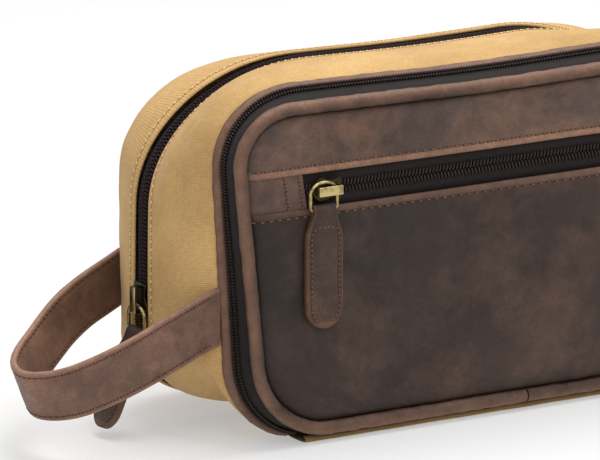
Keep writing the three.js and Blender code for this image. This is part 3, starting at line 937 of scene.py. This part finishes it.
# ---- strap loop
def strap_frame():
    """Plan of the strap's middle line in its own tilted plane, from the front leg round to the rear one: a
    Catmull-Rom curve through a few points."""
    pts = np.array([(-15.5, -39.5), (-9, -38.3), (2, -38.2), (22, -38), (40, -35), (55, -28), (63.5, -14),
                    (62.5, 0), (54, 12), (40, 22), (20, 35), (5, 41), (-8, 43), (-15.5, 44)], float)
    last = len(pts) - 1
    out = []
    for f in np.linspace(0, 1, 240):
        k = min(int(f * last), last - 1)
        u = f * last - k
        p0, p1, p2, p3 = pts[max(k - 1, 0)], pts[k], pts[k + 1], pts[min(k + 2, last)]
        out.append(0.5 * (2 * p1 + (p2 - p0) * u + (2 * p0 - 5 * p1 + 4 * p2 - p3) * u ** 2
                          + (3 * p1 - p0 - 3 * p2 + p3) * u ** 3))
    return resample(np.array(out), count=130)


def build_strap():
    line = strap_frame()
    c, s = math.cos(STRAP_DROOP), math.sin(STRAP_DROOP)
    out_dir = np.array([-c, 0, -s])
    up_dir = np.array([-s, 0, c])
    origin = np.array([STRAP_HINGE[0], 0, STRAP_HINGE[1]])
    half_w, half_t = STRAP_W / 2, STRAP_T / 2
    # Both ends are cut along the upright seam they are sewn into, so the upper edge reaches further in.
    near_wall = np.clip((14 - line[:, 0]) / 24, 0, 1) ** 1.5

    def along(w):
        out = line[:, 0] - (s / c * w + 2.3) * near_wall
        return origin + out[:, None] * out_dir + line[:, 1:] * np.array([0, 1.0, 0]) + up_dir * w

    side = unit(np.cross(tangents(along(0.0)), up_dir))

    def surface(w, h):
        """The strap's wavy line at share w of its half width and h of its half thickness."""
        wave = np.array([0.8 * noise.noise(Vector((k * 0.055, w * 0.6, 2.0))) for k in range(len(line))])
        return along(w * half_w) + side * (h * half_t + wave * 0.6)[:, None]

    # Section: leather folded over, with rolled edges and a slight hollow along each row of stitches.
    groove, groove_h, inner = 0.81, 0.78, 0.85
    right = [(1.0, 0.35), (0.95, 0.86), (0.88, 1.0), (groove, groove_h), (0.74, 0.95), (0.6, 1.05),
             (0.3, 1.1), (0.0, 1.1)]
    face = right + [(-w, h) for w, h in right[-2::-1]]
    ring = face + [(-w, -h * inner) for w, h in face]
    pts = np.array([surface(w, h) for w, h in ring])
    wear_and_shade = [np.full(len(line), max(0.0, (abs(w) - 0.84) / 0.16)) for w, _ in ring]
    strap = make("strap_leather_loop", pts.reshape(-1, 3), grid_faces(len(ring), len(line), False, True),
                 STRAP_LEATHER, grid_uv(pts, False, True), np.array(wear_and_shade))
    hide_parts("strap")
    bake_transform(strap)
    for w, label in ((-groove, "low"), (groove, "high")):
        for sign, face_label in ((-1, "in"), (1, "out")):
            row_line = surface(w, groove_h if sign > 0 else -groove_h * inner)
            row = stitches(f"strap_stitches_{label}_{face_label}", row_line[4:-4], (side * sign)[4:-4],
                           RUST_THREAD, pitch=3.2, length=2.5, radius=0.38)
            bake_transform(row)


build_strap()


# ---- sliders, rings and pull tabs
def shift(x, y, z):
    """A move in millimetres. The pieces of a pull are built about their own origin, then moved."""
    return Matrix.Translation(Vector((x, y, z)) * MM)


def prism(name, outline, low, high, mat):
    n = len(outline)
    verts = [(x, y, z) for z in (low, high) for x, y in outline]
    faces = [tuple(range(n))[::-1], tuple(range(n, 2 * n))]
    faces += [(i, (i + 1) % n, n + (i + 1) % n, n + i) for i in range(n)]
    return make(name, verts, faces, mat)


def slider_outline(width):
    half = width / 2
    right = [(7.2, half * 0.92), (6.2, half * 1.0), (4.4, half * 0.84), (2.4, half * 0.78),
             (0.4, half * 0.86), (-2.2, half * 1.12), (-3.6, half * 1.08), (-5.8, half * 0.72),
             (-7.2, half * 0.3)]
    return right + [(x, -y) for x, y in right[::-1]]


def build_slider(prefix, width, matrix, body, bridge_mat, under=3.2):
    """Two tarnished plates, the lower one `under` behind the coils' middle, and a bridge the ring hangs
    from."""
    plate = prism(f"{prefix}_slider_plate", slider_outline(width)[::-1], 0.35, 1.45, DARK_BRASS)
    bar = prism(f"{prefix}_slider_bridge", [(6, 2.15), (6, -2.15), (-6, -2.15), (-6, 2.15)], 4.35, 5.35,
                bridge_mat)
    pieces = [bevel(plate, 0.35, 3), bevel(bar, 0.45, 3)]
    for k, side in enumerate((-1, 1)):
        x = side * 5.6
        post = [(x + 0.4, 2.0), (x + 0.4, -2.0), (x - 0.4, -2.0), (x - 0.4, 2.0)]
        piece = prism(f"{prefix}_slider_post_{k}", post, 1.2, 4.7, bridge_mat)
        pieces.append(bevel(piece, 0.25, 2))
    lower = prism(f"{prefix}_slider_under", [(x * 0.93, y * 0.8) for x, y in slider_outline(width)][::-1],
                  -under - 0.8, -under, DARK_BRASS)
    pieces.append(bevel(lower, 0.25, 2))
    for piece in pieces:
        piece.data.transform(matrix)
        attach(piece, body)
    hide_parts(f"{prefix}_slider")


def build_ring(prefix, matrix, body):
    """A D-ring: straight lower bar, two legs and a flattened round top, in round wire."""
    half, rise, drop, r = RING_HALF, 4.8, RING_DROP, 1.5
    top = [(half * math.cos(a), -rise + rise * math.sin(a)) for a in np.radians(np.linspace(0, 180, 31))]
    left = corner(-half + r, -drop + r, r, r, 180, 7)
    right = corner(half - r, -drop + r, r, r, 270, 7)
    line = resample(np.array([(x, y, 0.0) for x, y in (*top, *left, *right)]), count=90, closed=True)
    t = tangents(line, closed=True)
    out = np.stack([t[:, 1], -t[:, 0], np.zeros(len(t))], axis=1)
    ring = tube(f"{prefix}_dring", line, 0.8, BRASS, out, closed=True, sides=12)
    ring.data.transform(matrix)
    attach(ring, body)
    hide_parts(f"{prefix}_ring")


def tab_half_width(s, length):
    """Half width of a tab s from its hinge: a tapering neck, straight sides and a round end."""
    neck, half = NECK_W / 2, TAB_W / 2
    if s <= length - half:
        u = share(s, 0.5, 11.5)
        return neck + (half - neck) * (0.55 * u + 0.45 * smooth(u))
    return math.sqrt(max(0.0, half ** 2 - (s - length + half) ** 2))


def build_tab(prefix, matrix, body, length):
    half = TAB_W / 2
    stations = [(-2.45, 0.25), (-2.2, 1.1), (-1.4, 2.0), (0.0, 2.45), (1.6, 2.3), (3.0, 1.85)]
    stations += [(s, 1.6) for s in (4.5, 6, 8, 10, 12)]
    stations += [(s, 1.6) for s in np.linspace(15, length - 9.5, 8)]
    stations += [(length - half + half * math.sin(a), 1.6) for a in np.radians(np.linspace(12, 84, 9))]
    stations += [(length - 0.03, 1.3)]
    around = [(1.0, 0.35), (0.985, 0.8), (0.93, 1.0), (0.84, 0.96), (0.76, 0.8), (0.68, 0.98), (0.33, 1.08),
              (0, 1.1)]
    ring = around + [(-w, h) for w, h in around[-2::-1]]
    ring += [(-w, -h) for w, h in ring]
    rows, wear_and_shade = [], []
    for s, thick in stations:
        w = max(tab_half_width(max(s, 0.0), length), 0.3)
        rows.append([(a * w, -s, b * thick) for a, b in ring])
        wear_and_shade.append([max(0.0, (abs(a) - 0.86) / 0.14) * 0.7 if s < length - 3 else 0.7 for a, b in ring])
    pts = np.array(rows)
    n, cols = pts.shape[:2]
    faces = grid_faces(n, cols, True)
    faces += [tuple(range(cols))[::-1], tuple(range((n - 1) * cols, n * cols))]
    uv = grid_uv(pts, True) + [[(0, 0)] * cols] * 2
    tab = make(f"{prefix}_tab_leather", pts.reshape(-1, 3), faces, TAB_LEATHER, uv,
               np.array(wear_and_shade))
    smooth_more(tab)
    pieces = [tab]
    # One loop of stitches runs round inside the edge, on both faces.
    inset, neck_s = 2.3, 8.5
    right = [(tab_half_width(s, length) - inset, s) for s in np.linspace(neck_s, length - half, 22)]
    right += [((half - inset) * math.cos(a), length - half + (half - inset) * math.sin(a))
              for a in np.radians(np.linspace(8, 90, 12))]
    top = [(right[0][0] * k, neck_s - 1.2 * (1 - k * k)) for k in np.linspace(-1, 1, 9)[1:-1]]
    loop = right + [(-x, s) for x, s in right[-2::-1]] + top
    for face, label in ((1, "out"), (-1, "in")):
        line = np.array([(x, -s, face * 1.42) for x, s in loop])
        pieces.append(stitches(f"{prefix}_tab_stitches_{label}", line, (0.0, 0.0, face), RUST_THREAD,
                               pitch=2.3, length=1.75, closed=True))
    for piece in pieces:
        piece.data.transform(matrix)
        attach(piece, body)
    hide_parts(f"{prefix}_tab")


def hanging_pull(prefix, width, place_mm, facing, tilt, length, bridge_mat):
    """A slider on an end wall, with its ring and tab hanging along the zip."""
    # Local x runs up, local z points out of the wall.
    turn = Matrix(((0, 0, facing, 0), (0, -facing, 0, 0), (1, 0, 0, 0), (0, 0, 0, 1)))
    base = shift(*place_mm) @ turn
    build_slider(prefix, width, base, f"{prefix}_slider", bridge_mat, under=5.0)
    hang = base @ shift(-2.6, 0, RING_UP) @ Matrix.Rotation(-math.pi / 2, 4, "Z")
    build_ring(prefix, hang, f"{prefix}_ring")
    bar = hang @ shift(0, -RING_DROP, 0) @ Matrix.Rotation(-math.radians(tilt), 4, "X")
    build_tab(prefix, bar, f"{prefix}_tab", length)


def pocket_pull():
    turn = Matrix(((1, 0, 0, 0), (0, 0, -1, 0), (0, 1, 0, 0), (0, 0, 0, 1)))
    base = shift(POCKET_SLIDER_X, COVER_PIPING_Y - 1.25, POCKET_ZIP_Z) @ turn
    build_slider("pocket", 10, base, "pocket_slider", BRASS)
    hang = base @ shift(PASSING_LEG - RING_HALF, PASSING_UP, RING_UP)
    build_ring("pocket", hang, "pocket_ring")
    build_tab("pocket", hang @ shift(0, -RING_DROP, 0), "pocket_tab", LONG_TAB + 2.0)


hanging_pull("main", 10, (-138.9, MAIN_ZIP_Y, 59), -1, 24, SHORT_TAB, DARK_BRASS)
hanging_pull("front", 8.4, (126.05, -47.4, 67), 1, 8.5, LONG_TAB, BRASS)
pocket_pull()


# ---- floor, light and camera
def build_stage():
    size = 6.0
    me = bpy.data.meshes.new("floor")
    corners = [(-size, -size, 0), (size, -size, 0), (size, size, 0), (-size, size, 0)]
    me.from_pydata(corners, [], [(0, 1, 2, 3)])
    floor = bpy.data.objects.new("floor", me)
    bpy.context.scene.collection.objects.link(floor)
    mat, tree, bsdf = material("floor")
    feed(tree, bsdf, {"Base Color": (0.42, 0.42, 0.42, 1), "Roughness": 0.7, "Specular IOR Level": 0.2,
                      "Emission Color": (1.0, 1.0, 1.0, 1), "Emission Strength": 0.39})
    me.materials.append(mat)

    world = bpy.data.worlds.new("studio")
    world.use_nodes = True
    feed(world.node_tree, world.node_tree.nodes["Background"],
         {"Color": (0.93, 0.93, 0.93, 1), "Strength": 0.74})
    bpy.context.scene.world = world
    aim = Vector((0, 0, 0.07))
    lamps = (
        ("key", (-0.6, -1.3, 1.3), 1.3, 8.0),
        ("fill", (1.1, -1.6, 0.9), 1.4, 4.0),
        ("top", (0.3, 0.1, 1.7), 1.5, 30.0),
    )
    for name, where, size, power in lamps:
        light = bpy.data.lights.new(name, "AREA")
        light.size = size
        light.energy = power
        obj = bpy.data.objects.new(name, light)
        obj.location = where
        obj.rotation_euler = (aim - Vector(where)).to_track_quat("-Z", "Y").to_euler()
        bpy.context.scene.collection.objects.link(obj)


def build_camera():
    azimuth, elevation, distance = math.radians(-32), math.radians(13.5), 3.0
    back = Vector((math.sin(azimuth) * math.cos(elevation), -math.cos(azimuth) * math.cos(elevation),
                   math.sin(elevation)))
    aim = Vector((-0.095013, -0.056, 0.095578))
    camera = bpy.data.cameras.new("camera")
    camera.sensor_width = 36
    camera.lens = 422.1
    camera.clip_end = 20
    obj = bpy.data.objects.new("camera", camera)
    obj.location = aim + back * distance
    obj.rotation_euler = (-back).to_track_quat("-Z", "Y").to_euler()
    bpy.context.scene.collection.objects.link(obj)
    bpy.context.scene.camera = obj
    bpy.context.scene.view_settings.view_transform = "Standard"


build_stage()
build_camera()
